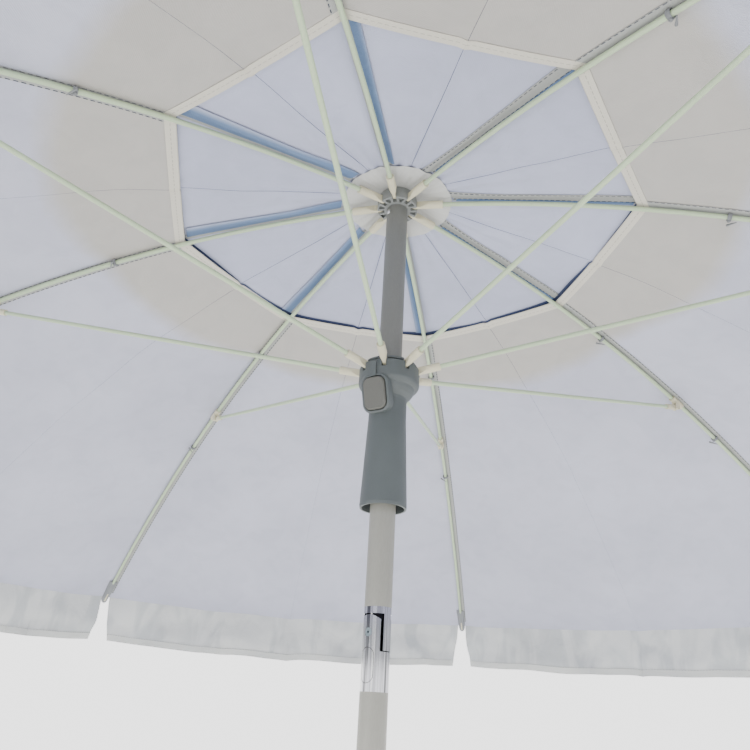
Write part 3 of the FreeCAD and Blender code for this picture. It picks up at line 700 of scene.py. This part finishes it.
# across each rib: the seam tape from and to, and how far the blue turned edge shows beside it
ventTape = {1: (-0.006, 0.005, 0.012), 2: (-0.013, 0.003, 0.006), 3: (-0.013, 0.003, 0.005),
            4: (-0.013, 0.003, 0.006), 5: (-0.004, 0.005, 0.014), 6: (-0.003, 0.005, 0.020),
            7: (-0.003, 0.005, 0.023), 8: (-0.003, 0.005, 0.026)}
# partly real tape, partly painted shadow: the main seam tape lies on one side of each rib only, standing in for the
# rib's shadow on that side
seamTape = {"from": 0.318, "to": 1.136, "steps": 40, "low": -0.0115, "high": 0.0025, "gap": 0.0004}
ventSeam = {"from": 0.076, "to": 0.420, "steps": 18, "gap": 0.0006}
ventFold = {"from": 0.080, "to": 0.302, "steps": 18, "low": 0.0012, "gap": 0.0013, "taper": 0.35}
areas = {}
for index in range(1, shape["ribs"] + 1):
    body = f"rib_{index}"
    main, areas["main"] = mainCloth(index)
    cap, areas["vent"] = ventCloth(index)
    radii = between(seamTape["from"], seamTape["to"], seamTape["steps"])
    trims = [ribStrip(f"seamTape{index}", index, radii, seamTape["low"], seamTape["high"], seamTape["gap"],
                      seamTapeMaterial, mainPoint)]
    trims += [bindingPiece(index), tipPocket(index), clothTie(index, 1), clothTie(index, 2)]
    low, high, blue = ventTape[index]
    seamRadii = between(ventSeam["from"], ventSeam["to"], ventSeam["steps"])
    foldRadii = between(ventFold["from"], ventFold["to"], ventFold["steps"])
    ventTrims = [ribStrip(f"ventSeam{index}", index, seamRadii, low, high, ventSeam["gap"], seamTapeMaterial,
                          ventPoint),
                 ribStrip(f"ventFold{index}", index, foldRadii, ventFold["low"], blue, ventFold["gap"],
                          cloths["blueCloth"], ventPoint, taper=ventFold["taper"]), blueEdge(index)]
    flaps, hems = [], []
    for side in (1, -1):
        flap, areas["valance"], hem = valanceFlap(index, side)
        flaps.append(flap)
        hems.append(hem)
    for piece in [main, cap] + trims + ventTrims + flaps + hems:
        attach(piece, body)
        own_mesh(piece)
    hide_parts(f"canopy_gore_{index}")
print("canopy made, flat areas", {k: round(v, 4) for k, v in areas.items()})

patch, patchArea = crownPatch()
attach(patch, "mast")

# finishes of the CAD pieces
finishOf = {"lower_pole": "scuffedTube", "clamp_collar": "capPlastic", "sand_tip": "sandPlastic",
            "clamp_knob": "capPlastic", "extension_tube": "lightTube", "tilt_lower_sleeve": "brightMetal",
            "tilt_rivet": "rivetZinc", "tilt_spring": "wireSteel", "tilt_button": "brightMetal",
            "mast_tube": "lightTube", "mast_top_tube": "darkTube", "tilt_upper_knuckle": "brightMetal",
            "hub": "hubPlastic", "hub_wire_and_rivet": "wireSteel", "finial": "capPlastic",
            "runner": "slatePlastic", "runner_top_ring": "slatePlastic", "runner_pivot_wire": "wireSteel",
            "runner_spring": "wireSteel", "runner_button": "buttonPlastic"}
for index in range(1, shape["ribs"] + 1):
    finishOf[f"rib_{index}"] = "glassRod"
    finishOf[f"strut_{index}"] = "glassRod"
    finishOf[f"rib_fittings_{index}"] = "creamPlastic"
    finishOf[f"strut_ends_{index}"] = "creamPlastic"
for node, finishName in finishOf.items():
    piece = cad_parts[node]
    piece.data.materials.clear()
    piece.data.materials.append(made[finishName])
print("finishes given")

# floor, light and camera
studio = {"sky": (1.0, 1.0, 1.0), "skyStrength": 2.7, "floor": (0.86, 0.86, 0.84)}
bpy.ops.object.select_all(action="DESELECT")
bpy.ops.mesh.primitive_plane_add(size=16, location=(0, 0, -0.001))
floor = bpy.context.active_object
floor.name = "floor"
floorMaterial, _ = startMaterial("floorPaint", studio["floor"], 0.85)
floor.data.materials.append(floorMaterial)

world = bpy.data.worlds.new("studio")
bpy.context.scene.world = world
world.use_nodes = True
world.node_tree.nodes["Background"].inputs["Color"].default_value = (*studio["sky"], 1)
world.node_tree.nodes["Background"].inputs["Strength"].default_value = studio["skyStrength"]


def areaLight(name, spot, target, size, power, color=(1, 1, 1)):
    light = bpy.data.lights.new(name, "AREA")
    light.shape, light.size, light.energy, light.color = "SQUARE", size, power, color
    lamp = bpy.data.objects.new(name, light)
    bpy.context.scene.collection.objects.link(lamp)
    lamp.location = spot
    lamp.rotation_euler = (Vector(target) - Vector(spot)).to_track_quat("-Z", "Y").to_euler()


areaLight("overhead", (1.5, -1.0, 5.0), (0, 0, 1.8), 3.0, 120)
areaLight("fromBelow", (-1.8, -2.6, 0.35), (0.1, 0.1, 2.0), 2.2, 42, (0.97, 0.98, 1.0))

view = {"spot": (0.1375, -0.7147, 1.5381), "right": (0.98110, 0.18617, 0.05280), "up": (0.03572, -0.44243, 0.89610),
        "forward": (-0.19018, 0.87727, 0.44071), "lens": 32.76}
lens = bpy.data.cameras.new("view")
lens.sensor_width, lens.lens, lens.clip_start, lens.clip_end = 36.0, view["lens"], 0.02, 60
camera = bpy.data.objects.new("view", lens)
bpy.context.scene.collection.objects.link(camera)
axes = [view["right"], view["up"], tuple(-c for c in view["forward"])]
turn = Matrix([[axes[column][row] for column in range(3)] for row in range(3)])
camera.matrix_world = Matrix.Translation(view["spot"]) @ turn.to_4x4()
bpy.context.scene.camera = camera
print("studio set")
